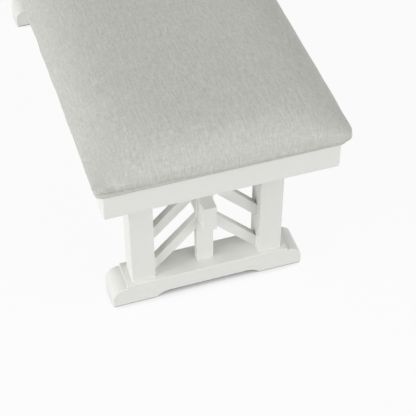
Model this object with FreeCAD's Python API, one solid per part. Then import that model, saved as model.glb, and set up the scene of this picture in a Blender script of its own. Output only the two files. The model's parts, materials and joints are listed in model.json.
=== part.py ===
"""Trestle bench with an upholstered seat, as separate pieces with real joints.

Millimetres. +X runs along the bench to its right end, +Y to its rear and +Z up. The origin lies on the
floor under the middle of the seat. The two trestle ends are alike, and so are the front and the rear.
"""
import FreeCAD, Part
import math
import os

# Seat frame: four mitred rails, their corner blocks and a cross bearer
FRAME_LENGTH = 1200.0
FRAME_DEPTH = 444.0
FRAME_TOP = 412.0
RAIL_HEIGHT = 55.0
RAIL_THICKNESS = 20.0
RAIL_CORNER_RADIUS = 4.0
CORNER_BLOCK_SIZE = 38.0
CORNER_BLOCK_HEIGHT = 40.0
BEARER_WIDTH = 20.0
BEARER_HEIGHT = 45.0

# Seat pad: a board with its wrapped edge, the foam that swells past it, and the cover
PAD_HEIGHT = 71.0
PAD_SIDE_OVERHANG = 7.0
PAD_SWELL = 10.0
PAD_CORNER_RADIUS = 24.0
PAD_TOP_ROUND = 22.0
PAD_LOW_ROUND = 14.0
PAD_ROUND_STEP = 2.0
BOARD_THICKNESS = 10.0
COVER_THICKNESS = 1.2
COVER_MARGIN = 38.0

# Trestle: a foot, two posts and a top rail, with a mullion and chevron slats between them
TRESTLE_INSET = 123.0
POST_SIZE = 48.0
POST_SETBACK = 65.5
TOP_RAIL_HEIGHT = 50.0
TOP_RAIL_DEPTH = 48.0
FOOT_TOP = 54.0
FOOT_DEPTH = 66.0
FOOT_SHELF_MARGIN = 12.5
FOOT_TOE_LENGTH = 31.0
FOOT_STEP = 6.5
FOOT_TOE_ROUND = 26.5
FOOT_PAD_LENGTH = 91.0
FOOT_RELIEF_HEIGHT = 12.0
FOOT_RELIEF_CURVE = 29.0
PANEL_THICKNESS = 16.0
MULLION_WIDTH = 35.0
SLAT_WIDTH = 22.0
SLAT_ANGLE = 46.5
EDGE_EASE = 1.5

# Tie: the stretcher, its stub tenons and the end blocks that they come out into
STRETCHER_WIDTH = 27.0
STRETCHER_HEIGHT = 62.0
STRETCHER_BOTTOM = 172.0
BLOCK_LENGTH = 34.0
TENON_WIDTH = 15.0
TENON_HEIGHT = 40.0
TENON_DEPTH = 24.0

# Dowels, pins, screws, bolts and glides
POST_DOWEL_DIAMETER = 10.0
POST_DOWEL_LENGTH = 50.0
POST_DOWEL_SPACING = 22.0
CROSS_DOWEL_DIAMETER = 8.0
CROSS_DOWEL_LENGTH = 40.0
BEARER_DOWEL_SPACING = 22.0
BEARER_DOWEL_BITE = 14.0
SLAT_DOWEL_DIAMETER = 6.0
SLAT_DOWEL_LENGTH = 16.0
PIN_DIAMETER = 8.0
PIN_LENGTH = 36.0
SCREW_DIAMETER = 4.0
SCREW_HEAD_DIAMETER = 8.0
SCREW_HEAD_HEIGHT = 2.4
SCREW_POINT = 4.0
SCREW_RAIL_BITE = 10.0
SCREW_BOARD_BITE = 6.5
SCREW_EDGE_OFFSET = 12.0
SCREW_LIFT = 12.0
BOLT_DIAMETER = 8.0
BOLT_HEAD_FLATS = 13.0
BOLT_HEAD_HEIGHT = 5.3
HEAD_CORNERS = 6
BOLT_TIP_GAP = 1.0
COUNTERBORE_DIAMETER = 24.0
COUNTERBORE_DEPTH = 12.0
WASHER_DIAMETER = 17.0
WASHER_THICKNESS = 1.6
TEE_NUT_BARREL = 10.5
TEE_NUT_FLANGE = 22.0
TEE_NUT_FLANGE_THICKNESS = 1.5
GLIDE_DIAMETER = 24.0
GLIDE_HEIGHT = 2.0
GLIDE_CHAMFER = 0.8
GLIDE_NAIL_DIAMETER = 3.0
GLIDE_NAIL_LENGTH = 14.0

# Clearances
DOWEL_CLEARANCE = 0.1
DOWEL_END_GAP = 1.0
TENON_CLEARANCE = 0.1
TENON_END_GAP = 1.0
SCREW_CLEARANCE = 0.1
THREAD_CLEARANCE = 0.1
BOLT_CLEARANCE = 0.5
TOP_RAIL_END_GAP = 0.5
FOAM_CLEARANCE = 0.3
BOARD_CLEARANCE = 0.2
DUST_COVER_GAP = 0.5

# Heights and places that follow from the sizes above
RAIL_LOW = FRAME_TOP - RAIL_HEIGHT
RAIL_INNER_X = FRAME_LENGTH / 2 - RAIL_THICKNESS
RAIL_INNER_Y = FRAME_DEPTH / 2 - RAIL_THICKNESS
SEAT_HEIGHT = FRAME_TOP + PAD_HEIGHT
BOARD_LOW = FRAME_TOP + COVER_THICKNESS
BOARD_TOP = BOARD_LOW + BOARD_THICKNESS
FOAM_LOW_ROUND = PAD_LOW_ROUND - COVER_THICKNESS
EDGE_DEPTH = FRAME_DEPTH + 2 * PAD_SIDE_OVERHANG
EDGE_CORNER = PAD_CORNER_RADIUS - PAD_SWELL
TRESTLE_X = FRAME_LENGTH / 2 - TRESTLE_INSET
POST_OUTER = FRAME_DEPTH / 2 - POST_SETBACK
POST_INNER = POST_OUTER - POST_SIZE
POST_Y = POST_OUTER - POST_SIZE / 2
TOP_RAIL_LOW = FRAME_TOP - TOP_RAIL_HEIGHT
SHELF_HALF = POST_OUTER + FOOT_SHELF_MARGIN
FOOT_HALF = SHELF_HALF + FOOT_TOE_LENGTH
MULLION_HALF = MULLION_WIDTH / 2
SLAT_NAMES = ("lower", "middle", "upper")
SLAT_SLOPE = math.tan(math.radians(SLAT_ANGLE))
SLAT_RISE = SLAT_SLOPE * (POST_INNER - MULLION_HALF)
SLAT_UPRIGHT = SLAT_WIDTH / math.cos(math.radians(SLAT_ANGLE))
SLAT_PITCH = (TOP_RAIL_LOW - FOOT_TOP - SLAT_RISE - SLAT_UPRIGHT) / (len(SLAT_NAMES) - 1)
PANEL_INNER_X = TRESTLE_X - PANEL_THICKNESS / 2
PANEL_OUTER_X = TRESTLE_X + PANEL_THICKNESS / 2
STRETCHER_MIDDLE = STRETCHER_BOTTOM + STRETCHER_HEIGHT / 2
BOLT_PLACES = ((MULLION_HALF + POST_INNER) / 2, (POST_OUTER + RAIL_INNER_Y) / 2)
BOLT_SEAT = TOP_RAIL_LOW + COUNTERBORE_DEPTH
GLIDE_Y = FOOT_HALF - FOOT_PAD_LENGTH / 2

ENDS = {"left": -1, "right": 1}
FACES = {"front": -1, "rear": 1}
ALONG = FreeCAD.Vector(1, 0, 0)
ACROSS = FreeCAD.Vector(0, 1, 0)
UP = FreeCAD.Vector(0, 0, 1)
SAME_PLACE = 1e-4
CORNERS = [(end, face) for end in ENDS for face in FACES]


def vec(x, y, z):
    """A point or a direction."""
    return FreeCAD.Vector(x, y, z)


def about(centre, size):
    """The range of a size about its centre."""
    return centre - size / 2, centre + size / 2


def mirrored(sign, low, high):
    """A range, or its mirror image where the sign is negative."""
    return (low, high) if sign > 0 else (-high, -low)


def box(x_range, y_range, z_range):
    """A box between three ranges."""
    spans = [high - low for low, high in (x_range, y_range, z_range)]
    return Part.makeBox(*spans, vec(x_range[0], y_range[0], z_range[0]))


def edges_along(shape, axis):
    """The straight edges that run along an axis."""
    found = []
    for edge in shape.Edges:
        run = edge.Vertexes[-1].Point - edge.Vertexes[0].Point
        if run.Length > SAME_PLACE and abs(abs(run.dot(axis)) - run.Length) < SAME_PLACE:
            found.append(edge)
    return found


def edges_in_plane(shape, axis, place):
    """The edges that lie in the plane square to an axis at a place along it."""
    found = []
    for edge in shape.Edges:
        middle = edge.valueAt((edge.FirstParameter + edge.LastParameter) / 2)
        points = [vertex.Point for vertex in edge.Vertexes] + [middle]
        if all(abs(point.dot(axis) - place) < SAME_PLACE for point in points):
            found.append(edge)
    return found


def eased_bar(x_range, y_range, z_range, axis):
    """A bar whose long edges are eased."""
    bar = box(x_range, y_range, z_range)
    return bar.makeFillet(EDGE_EASE, edges_along(bar, axis))


def rounded_slab(length, depth, low, high, corner):
    """A slab about the middle of the bench with upright corners rounded in plan."""
    slab = box(about(0, length), about(0, depth), (low, high))
    return slab.makeFillet(corner, edges_along(slab, UP))


def swelled_slab(inset, low, high, low_round):
    """The foam's swelled form, set in from the outside of the cover."""
    corner = PAD_CORNER_RADIUS - inset
    top_round = min(PAD_TOP_ROUND, PAD_CORNER_RADIUS - PAD_ROUND_STEP) - inset
    length = FRAME_LENGTH + 2 * (PAD_SWELL - inset)
    depth = EDGE_DEPTH + 2 * (PAD_SWELL - inset)
    slab = rounded_slab(length, depth, low, high, corner)
    slab = slab.makeFillet(top_round, edges_in_plane(slab, UP, high))
    return slab.makeFillet(low_round, edges_in_plane(slab, UP, low))


def edge_slab(inset, low, high):
    """The wrapped edge's outline, set in, between two heights."""
    corner = max(EDGE_CORNER - inset, EDGE_EASE)
    return rounded_slab(FRAME_LENGTH - 2 * inset, EDGE_DEPTH - 2 * inset, low, high, corner)


def drilled(piece, holes):
    """A piece with those of the holes that reach it cut out."""
    reaching = [hole for hole in holes if hole.BoundBox.intersect(piece.BoundBox)]
    return piece.cut(reaching) if reaching else piece


def dowel(diameter, length, centre, axis, hole=False):
    """A dowel about its centre, or the hole that takes it."""
    radius = diameter / 2 + (DOWEL_CLEARANCE if hole else 0)
    reach = length / 2 + (DOWEL_END_GAP if hole else 0)
    return Part.makeCylinder(radius, 2 * reach, centre - axis * reach, axis)


def screw(seat, axis, length, hole=False):
    """A pan-head wood screw driven along an axis from its seat, or its pilot hole."""
    radius = SCREW_DIAMETER / 2
    if hole:
        return Part.makeCylinder(radius + SCREW_CLEARANCE, length + DOWEL_END_GAP, seat, axis)
    shank = Part.makeCylinder(radius, length - SCREW_POINT, seat, axis)
    point = Part.makeCone(radius, 0, SCREW_POINT, seat + axis * (length - SCREW_POINT), axis)
    head = Part.makeCylinder(SCREW_HEAD_DIAMETER / 2, SCREW_HEAD_HEIGHT, seat, axis * -1)
    return shank.fuse([point, head])


def post_dowels(hole=False):
    """Two dowels at each end of every post."""
    centres = [
        vec(x, face * POST_Y, joint)
        for end in ENDS.values()
        for x in about(end * TRESTLE_X, POST_DOWEL_SPACING)
        for face in FACES.values()
        for joint in (FOOT_TOP, TOP_RAIL_LOW)
    ]
    return [dowel(POST_DOWEL_DIAMETER, POST_DOWEL_LENGTH, centre, UP, hole) for centre in centres]


def mullion_dowels(hole=False):
    """One dowel at each end of both mullions."""
    return [
        dowel(CROSS_DOWEL_DIAMETER, CROSS_DOWEL_LENGTH, vec(end * TRESTLE_X, 0, joint), UP, hole)
        for end in ENDS.values()
        for joint in (FOOT_TOP, TOP_RAIL_LOW)
    ]


def bearer_dowels(hole=False):
    """Two dowels at each end of the cross bearer."""
    middle_y = RAIL_INNER_Y + BEARER_DOWEL_BITE - CROSS_DOWEL_LENGTH / 2
    middle_z = FRAME_TOP - BEARER_HEIGHT / 2
    return [
        dowel(CROSS_DOWEL_DIAMETER, CROSS_DOWEL_LENGTH, vec(0, face * middle_y, height), ACROSS, hole)
        for face in FACES.values()
        for height in about(middle_z, BEARER_DOWEL_SPACING)
    ]


def slat_dowels(hole=False):
    """A dowel at both ends of every slat."""
    dowels = []
    for end in ENDS.values():
        for face in FACES.values():
            for row in range(len(SLAT_NAMES)):
                low_end = FOOT_TOP + row * SLAT_PITCH + SLAT_UPRIGHT / 2
                for place, height in ((POST_INNER, low_end), (MULLION_HALF, low_end + SLAT_RISE)):
                    centre = vec(end * TRESTLE_X, face * place, height)
                    dowels.append(dowel(SLAT_DOWEL_DIAMETER, SLAT_DOWEL_LENGTH, centre, ACROSS, hole))
    return dowels


def tenon_pins(hole=False):
    """The pin that goes up through each end block into the tenon."""
    pin_x = PANEL_OUTER_X + TENON_DEPTH / 2
    middle = STRETCHER_BOTTOM + PIN_LENGTH / 2
    centres = [vec(end * pin_x, 0, middle) for end in ENDS.values()]
    return [dowel(PIN_DIAMETER, PIN_LENGTH, centre, UP, hole) for centre in centres]


def corner_block_screws(hole=False):
    """Three screws in each corner block: one into either rail and one up into the board."""
    screws = []
    block_low = FRAME_TOP - CORNER_BLOCK_HEIGHT
    side_length = CORNER_BLOCK_SIZE + SCREW_RAIL_BITE
    up_length = CORNER_BLOCK_HEIGHT + COVER_THICKNESS + SCREW_BOARD_BITE
    for end in ENDS.values():
        for face in FACES.values():
            near_x = end * (RAIL_INNER_X - SCREW_EDGE_OFFSET)
            near_y = face * (RAIL_INNER_Y - SCREW_EDGE_OFFSET)
            far_x = end * (RAIL_INNER_X - CORNER_BLOCK_SIZE)
            far_y = face * (RAIL_INNER_Y - CORNER_BLOCK_SIZE)
            up_x = far_x + end * SCREW_EDGE_OFFSET
            up_y = far_y + face * SCREW_EDGE_OFFSET
            end_seat = vec(far_x, near_y, block_low + SCREW_LIFT)
            side_seat = vec(near_x, far_y, FRAME_TOP - SCREW_LIFT)
            screws.append(screw(end_seat, ALONG * end, side_length, hole))
            screws.append(screw(side_seat, ACROSS * face, side_length, hole))
            screws.append(screw(vec(up_x, up_y, block_low), UP, up_length, hole))
    return screws


def bolt_places():
    """Plan positions of the seat bolts, four on each trestle."""
    return [
        (end * TRESTLE_X, face * place)
        for end in ENDS.values()
        for face in FACES.values()
        for place in BOLT_PLACES
    ]


def upright_rods(diameter, low, high):
    """A rod at every seat bolt, between two heights."""
    return [Part.makeCylinder(diameter / 2, high - low, vec(x, y, low), UP) for x, y in bolt_places()]


def seat_bolts():
    """Hexagon-head bolts from the counterbores up into the tee nuts."""
    under_head = BOLT_SEAT - WASHER_THICKNESS
    radius = BOLT_HEAD_FLATS / math.sqrt(3)
    shanks = upright_rods(BOLT_DIAMETER - 2 * THREAD_CLEARANCE, under_head, BOARD_TOP - BOLT_TIP_GAP)
    bolts = []
    turns = [2 * math.pi * corner / HEAD_CORNERS for corner in range(HEAD_CORNERS + 1)]
    low = under_head - BOLT_HEAD_HEIGHT
    for (x, y), shank in zip(bolt_places(), shanks):
        outline = [vec(x + radius * math.cos(turn), y + radius * math.sin(turn), low) for turn in turns]
        head = Part.Face(Part.makePolygon(outline)).extrude(UP * BOLT_HEAD_HEIGHT)
        bolts.append(head.fuse(shank))
    return bolts


def bolt_washers():
    """Flat washers under the bolt heads."""
    low = BOLT_SEAT - WASHER_THICKNESS
    discs = upright_rods(WASHER_DIAMETER, low, BOLT_SEAT)
    holes = upright_rods(BOLT_DIAMETER + 2 * BOLT_CLEARANCE, low, BOLT_SEAT)
    return [disc.cut(hole) for disc, hole in zip(discs, holes)]


def tee_nuts(hole=False):
    """Flanged threaded inserts let into the top of the board, or their seats."""
    slack = 2 * THREAD_CLEARANCE if hole else 0
    flange_low = BOARD_TOP - TEE_NUT_FLANGE_THICKNESS
    barrels = upright_rods(TEE_NUT_BARREL + slack, BOARD_LOW, flange_low)
    flanges = upright_rods(TEE_NUT_FLANGE + slack, flange_low, BOARD_TOP)
    threads = upright_rods(BOLT_DIAMETER, BOARD_LOW, BOARD_TOP)
    if hole:
        return barrels + flanges
    return [barrel.fuse(flange).cut(thread) for barrel, flange, thread in zip(barrels, flanges, threads)]


def floor_glides():
    """Nail-on glides under the bearing pads of the feet."""
    glides = []
    radius = GLIDE_DIAMETER / 2
    for end in ENDS.values():
        for face in FACES.values():
            base = vec(end * TRESTLE_X, face * GLIDE_Y, 0)
            tread = Part.makeCone(radius - GLIDE_CHAMFER, radius, GLIDE_CHAMFER, base, UP)
            disc = Part.makeCylinder(radius, GLIDE_HEIGHT - GLIDE_CHAMFER, base + UP * GLIDE_CHAMFER, UP)
            head = base + UP * GLIDE_HEIGHT
            nail = Part.makeCylinder(GLIDE_NAIL_DIAMETER / 2, GLIDE_NAIL_LENGTH, head, UP)
            glides.append(tread.fuse([disc, nail]))
    return glides


def nail_holes():
    """Holes in the feet for the glides' nails."""
    radius = GLIDE_NAIL_DIAMETER / 2 + SCREW_CLEARANCE
    return [
        Part.makeCylinder(radius, GLIDE_NAIL_LENGTH + DOWEL_END_GAP, vec(x, y, GLIDE_HEIGHT), UP)
        for x in about(0, 2 * TRESTLE_X)
        for y in about(0, 2 * GLIDE_Y)
    ]


def seat_board():
    """Plywood board inside the cover's wrapped edge."""
    board = edge_slab(COVER_THICKNESS + BOARD_CLEARANCE, BOARD_LOW, BOARD_TOP)
    return drilled(board, tee_nuts(hole=True) + corner_block_screws(hole=True))


def seat_foam():
    """Foam pad on the board."""
    inset = COVER_THICKNESS + FOAM_CLEARANCE
    return swelled_slab(inset, BOARD_TOP, SEAT_HEIGHT - inset, FOAM_LOW_ROUND)


def cloth_holes():
    """Holes for the seat bolts and the upright screws in the cloth under the board."""
    bolt_holes = upright_rods(BOLT_DIAMETER + 2 * BOLT_CLEARANCE, FRAME_TOP, BOARD_LOW)
    return bolt_holes + corner_block_screws(hole=True)


def seat_cover():
    """Fabric cover round the foam and the board's edge, turned under by a margin."""
    swell = swelled_slab(0, BOARD_TOP - COVER_THICKNESS, SEAT_HEIGHT, PAD_LOW_ROUND)
    edge = edge_slab(0, FRAME_TOP, BOARD_TOP + COVER_THICKNESS)
    foam_space = swelled_slab(COVER_THICKNESS, BOARD_TOP, SEAT_HEIGHT - COVER_THICKNESS, FOAM_LOW_ROUND)
    board_space = edge_slab(COVER_THICKNESS, BOARD_LOW, BOARD_TOP)
    opening = edge_slab(COVER_MARGIN, FRAME_TOP, BOARD_LOW)
    return swell.fuse(edge).cut([foam_space, board_space, opening] + cloth_holes())


def dust_cover():
    """Thin cloth under the board, inside the cover's margin."""
    cloth = edge_slab(COVER_MARGIN + DUST_COVER_GAP, FRAME_TOP, BOARD_LOW)
    return drilled(cloth, cloth_holes())


def frame_rails():
    """The four rails, mitred at the corners of one eased ring."""
    ring = rounded_slab(FRAME_LENGTH, FRAME_DEPTH, RAIL_LOW, FRAME_TOP, RAIL_CORNER_RADIUS)
    for height in (RAIL_LOW, FRAME_TOP):
        ring = ring.makeFillet(EDGE_EASE, edges_in_plane(ring, UP, height))
    ring = ring.cut(box(about(0, 2 * RAIL_INNER_X), about(0, 2 * RAIL_INNER_Y), (RAIL_LOW, FRAME_TOP)))
    outer = (FRAME_LENGTH / 2 + RAIL_THICKNESS, FRAME_DEPTH / 2 + RAIL_THICKNESS)
    inner = (RAIL_INNER_X - RAIL_THICKNESS, RAIL_INNER_Y - RAIL_THICKNESS)
    corners = [(-1, outer), (1, outer), (1, inner), (-1, inner), (-1, outer)]
    wedges = {}
    for face, side in FACES.items():
        wedges[face + "_rail"] = [vec(sign * x, side * y, RAIL_LOW) for sign, (x, y) in corners]
    for end, side in ENDS.items():
        wedges[end + "_end_rail"] = [vec(side * x, sign * y, RAIL_LOW) for sign, (x, y) in corners]
    holes = corner_block_screws(hole=True) + bearer_dowels(hole=True)
    rails = {}
    for name, outline in wedges.items():
        wedge = Part.Face(Part.makePolygon(outline)).extrude(UP * RAIL_HEIGHT)
        rails[name] = drilled(ring.common(wedge), holes)
    return rails


def corner_block(end, face):
    """Glue block in a corner of the frame."""
    block = box(
        mirrored(end, RAIL_INNER_X - CORNER_BLOCK_SIZE, RAIL_INNER_X),
        mirrored(face, RAIL_INNER_Y - CORNER_BLOCK_SIZE, RAIL_INNER_Y),
        (FRAME_TOP - CORNER_BLOCK_HEIGHT, FRAME_TOP),
    )
    return drilled(block, corner_block_screws(hole=True))


def centre_bearer():
    """Cross bearer under the middle of the board."""
    low = FRAME_TOP - BEARER_HEIGHT
    bearer = box(about(0, BEARER_WIDTH), about(0, 2 * RAIL_INNER_Y), (low, FRAME_TOP))
    return drilled(bearer, bearer_dowels(hole=True))


def quarter_round(side):
    """The rounded top of one toe of the foot, from its step out to its end."""
    step_height = FOOT_TOP - FOOT_STEP
    centre_y = FOOT_HALF - FOOT_TOE_ROUND
    centre_z = step_height - FOOT_TOE_ROUND
    places = []
    for turn in (math.pi / 2, math.pi / 4, 0):
        reach = FOOT_TOE_ROUND * math.cos(turn)
        lift = FOOT_TOE_ROUND * math.sin(turn)
        places.append(vec(0, side * (centre_y + reach), centre_z + lift))
    return places


def relief_curve(side):
    """The curve from the relief's ceiling down to one bearing pad, level at the ceiling."""
    pad_y = FOOT_HALF - FOOT_PAD_LENGTH
    start_y = pad_y - FOOT_RELIEF_CURVE
    ceiling = GLIDE_HEIGHT + FOOT_RELIEF_HEIGHT
    radius = (FOOT_RELIEF_CURVE ** 2 + FOOT_RELIEF_HEIGHT ** 2) / (2 * FOOT_RELIEF_HEIGHT)
    sweep = math.acos((radius - FOOT_RELIEF_HEIGHT) / radius)
    return [
        vec(0, side * (start_y + radius * math.sin(turn)), ceiling - radius * (1 - math.cos(turn)))
        for turn in (0, sweep / 2, sweep)
    ]


def foot(end):
    """Trestle foot: a flat shelf, a step and a rounded toe at each end, relieved underneath."""
    step_height = FOOT_TOP - FOOT_STEP
    left_toe, right_toe = quarter_round(-1), quarter_round(1)
    left_curve, right_curve = relief_curve(-1), relief_curve(1)
    stretches = [
        [vec(0, -FOOT_HALF, GLIDE_HEIGHT), left_curve[2]],
        left_curve[::-1],
        [left_curve[0], right_curve[0]],
        right_curve,
        [right_curve[2], vec(0, FOOT_HALF, GLIDE_HEIGHT)],
        [vec(0, FOOT_HALF, GLIDE_HEIGHT), right_toe[2]],
        right_toe[::-1],
        [right_toe[0], vec(0, SHELF_HALF, step_height)],
        [vec(0, SHELF_HALF, step_height), vec(0, SHELF_HALF, FOOT_TOP)],
        [vec(0, SHELF_HALF, FOOT_TOP), vec(0, -SHELF_HALF, FOOT_TOP)],
        [vec(0, -SHELF_HALF, FOOT_TOP), vec(0, -SHELF_HALF, step_height)],
        [vec(0, -SHELF_HALF, step_height), left_toe[0]],
        left_toe,
        [left_toe[2], vec(0, -FOOT_HALF, GLIDE_HEIGHT)],
    ]
    curves = [Part.LineSegment(*ends) if len(ends) == 2 else Part.Arc(*ends) for ends in stretches]
    outline = Part.Face(Part.Wire([curve.toShape() for curve in curves]))
    low, high = about(end * TRESTLE_X, FOOT_DEPTH)
    outline.translate(vec(low, 0, 0))
    solid = outline.extrude(vec(FOOT_DEPTH, 0, 0))
    for place in (low, high):
        solid = solid.makeFillet(EDGE_EASE, edges_in_plane(solid, ALONG, place))
    return drilled(solid, post_dowels(hole=True) + mullion_dowels(hole=True) + nail_holes())


def post(end, face):
    """Square trestle post between the foot and the top rail."""
    size = about(end * TRESTLE_X, POST_SIZE), about(face * POST_Y, POST_SIZE)
    bar = eased_bar(*size, (FOOT_TOP, TOP_RAIL_LOW), UP)
    return drilled(bar, post_dowels(hole=True) + slat_dowels(hole=True))


def top_rail(end):
    """Rail across the heads of the posts, bolted to the seat board."""
    depth = about(end * TRESTLE_X, TOP_RAIL_DEPTH)
    length = about(0, 2 * (RAIL_INNER_Y - TOP_RAIL_END_GAP))
    bar = eased_bar(depth, length, (TOP_RAIL_LOW, FRAME_TOP), ACROSS)
    counterbores = upright_rods(COUNTERBORE_DIAMETER, TOP_RAIL_LOW, BOLT_SEAT)
    bolt_holes = upright_rods(BOLT_DIAMETER + 2 * BOLT_CLEARANCE, BOLT_SEAT, FRAME_TOP)
    return drilled(bar, post_dowels(hole=True) + mullion_dowels(hole=True) + counterbores + bolt_holes)


def mullion(end):
    """Centre upright of the trestle, with the mortise that the stretcher's tenon passes through."""
    width = about(end * TRESTLE_X, PANEL_THICKNESS), about(0, MULLION_WIDTH)
    bar = eased_bar(*width, (FOOT_TOP, TOP_RAIL_LOW), UP)
    mortise = box(
        about(end * TRESTLE_X, PANEL_THICKNESS),
        about(0, TENON_WIDTH + 2 * TENON_CLEARANCE),
        about(STRETCHER_MIDDLE, TENON_HEIGHT + 2 * TENON_CLEARANCE),
    )
    return drilled(bar, mullion_dowels(hole=True) + slat_dowels(hole=True) + [mortise])


def slat(end, face, row):
    """Slanting slat from a post up to the mullion."""
    low_end = FOOT_TOP + row * SLAT_PITCH
    high_end = low_end + SLAT_RISE
    x_low, _ = about(end * TRESTLE_X, PANEL_THICKNESS)
    places = [
        (POST_INNER, low_end),
        (MULLION_HALF, high_end),
        (MULLION_HALF, high_end + SLAT_UPRIGHT),
        (POST_INNER, low_end + SLAT_UPRIGHT),
        (POST_INNER, low_end),
    ]
    outline = [vec(x_low, face * y, z) for y, z in places]
    bar = Part.Face(Part.makePolygon(outline)).extrude(vec(PANEL_THICKNESS, 0, 0))
    run = vec(0, face * (MULLION_HALF - POST_INNER), SLAT_RISE).normalize()
    bar = bar.makeFillet(EDGE_EASE, edges_along(bar, run))
    return drilled(bar, slat_dowels(hole=True))


def stretcher():
    """Long rail between the trestles, with a stub tenon at each end."""
    width = about(0, STRETCHER_WIDTH)
    bar = eased_bar(about(0, 2 * PANEL_INNER_X), width, about(STRETCHER_MIDDLE, STRETCHER_HEIGHT), ALONG)
    tenon_length = 2 * (PANEL_OUTER_X + TENON_DEPTH - TENON_END_GAP)
    tenons = box(about(0, tenon_length), about(0, TENON_WIDTH), about(STRETCHER_MIDDLE, TENON_HEIGHT))
    return drilled(bar.fuse(tenons), tenon_pins(hole=True))


def stretcher_block(end):
    """End block outside the mullion, with a blind mortise for the tenon."""
    block = box(
        mirrored(end, PANEL_OUTER_X, PANEL_OUTER_X + BLOCK_LENGTH),
        about(0, STRETCHER_WIDTH),
        about(STRETCHER_MIDDLE, STRETCHER_HEIGHT),
    )
    outer_face = end * (PANEL_OUTER_X + BLOCK_LENGTH)
    outside = edges_along(block, ALONG) + edges_in_plane(block, ALONG, outer_face)
    block = block.makeFillet(EDGE_EASE, outside)
    mortise = box(
        mirrored(end, PANEL_OUTER_X, PANEL_OUTER_X + TENON_DEPTH),
        about(0, TENON_WIDTH + 2 * TENON_CLEARANCE),
        about(STRETCHER_MIDDLE, TENON_HEIGHT + 2 * TENON_CLEARANCE),
    )
    return drilled(block, [mortise] + tenon_pins(hole=True))


def trestle_pieces(end_name):
    """All the pieces of one trestle end by name."""
    end = ENDS[end_name]
    pieces = {"foot": foot(end), "mullion": mullion(end), "top_rail": top_rail(end)}
    for face_name, face in FACES.items():
        pieces[face_name + "_post"] = post(end, face)
        for row, row_name in enumerate(SLAT_NAMES):
            pieces[f"{face_name}_{row_name}_slat"] = slat(end, face, row)
    pieces["stretcher_block"] = stretcher_block(end)
    return {f"{end_name}_{name}": piece for name, piece in pieces.items()}


def main():
    """Builds every piece and writes one file for each."""
    pieces = {
        "seat_cover": seat_cover(),
        "seat_foam": seat_foam(),
        "seat_board": seat_board(),
        "dust_cover": dust_cover(),
        "centre_bearer": centre_bearer(),
        "stretcher": stretcher(),
    }
    pieces.update(frame_rails())
    for end, face in CORNERS:
        pieces[f"{end}_{face}_corner_block"] = corner_block(ENDS[end], FACES[face])
    for end in ENDS:
        pieces.update(trestle_pieces(end))
    groups = (
        seat_bolts,
        bolt_washers,
        tee_nuts,
        corner_block_screws,
        post_dowels,
        mullion_dowels,
        bearer_dowels,
        slat_dowels,
        tenon_pins,
        floor_glides,
    )
    for group in groups:
        pieces[group.__name__] = Part.makeCompound(group())
    os.makedirs("parts", exist_ok=True)
    for name, piece in pieces.items():
        piece.exportStep(f"parts/{name}.step")


main()
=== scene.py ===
"""Finishes an upholstered trestle bench: padded seat, dust cloth, painted wood, fixings and stage."""
import json
import math

import bpy
import numpy as np
from bpy.props import FloatProperty, FloatVectorProperty, IntProperty, PointerProperty
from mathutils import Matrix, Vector, noise


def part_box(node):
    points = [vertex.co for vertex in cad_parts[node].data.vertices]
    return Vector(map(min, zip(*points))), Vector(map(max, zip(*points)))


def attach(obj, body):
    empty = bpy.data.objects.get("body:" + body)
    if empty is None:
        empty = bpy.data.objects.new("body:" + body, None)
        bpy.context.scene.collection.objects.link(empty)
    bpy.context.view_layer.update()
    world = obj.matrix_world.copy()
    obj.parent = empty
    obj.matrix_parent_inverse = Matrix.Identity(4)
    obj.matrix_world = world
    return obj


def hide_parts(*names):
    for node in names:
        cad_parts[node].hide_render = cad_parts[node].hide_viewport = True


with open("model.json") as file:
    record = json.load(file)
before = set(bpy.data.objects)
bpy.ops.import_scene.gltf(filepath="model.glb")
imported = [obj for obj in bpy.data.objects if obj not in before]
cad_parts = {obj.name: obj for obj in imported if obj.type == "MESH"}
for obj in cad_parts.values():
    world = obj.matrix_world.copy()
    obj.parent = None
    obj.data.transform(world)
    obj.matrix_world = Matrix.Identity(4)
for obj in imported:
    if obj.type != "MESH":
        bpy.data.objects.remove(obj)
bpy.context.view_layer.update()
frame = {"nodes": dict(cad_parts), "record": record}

bl_info = {
    "name": "Upholstered Bench Finish",
    "version": (1, 0, 0),
    "blender": (4, 5, 0),
    "location": "View3D > Sidebar > Bench",
    "description": "Models the soft seat of a trestle bench and gives every piece its finish",
    "category": "Object",
}

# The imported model's own places, in metres.
COVER_LOW, COVER_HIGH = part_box("seat_cover")
_, BOARD_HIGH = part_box("seat_board")
_, DUST_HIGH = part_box("dust_cover")
_, BEARER_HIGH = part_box("centre_bearer")
TOP_RAIL_LOW, TOP_RAIL_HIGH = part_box("right_top_rail")
SLOT_OF_NODE = {part["node"]: part["material_slot"] for part in frame["record"]["subparts"]}

MILLIMETRE = 0.001
THREAD = "thread"
THREAD_PITCH = 1.7 * MILLIMETRE


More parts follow.
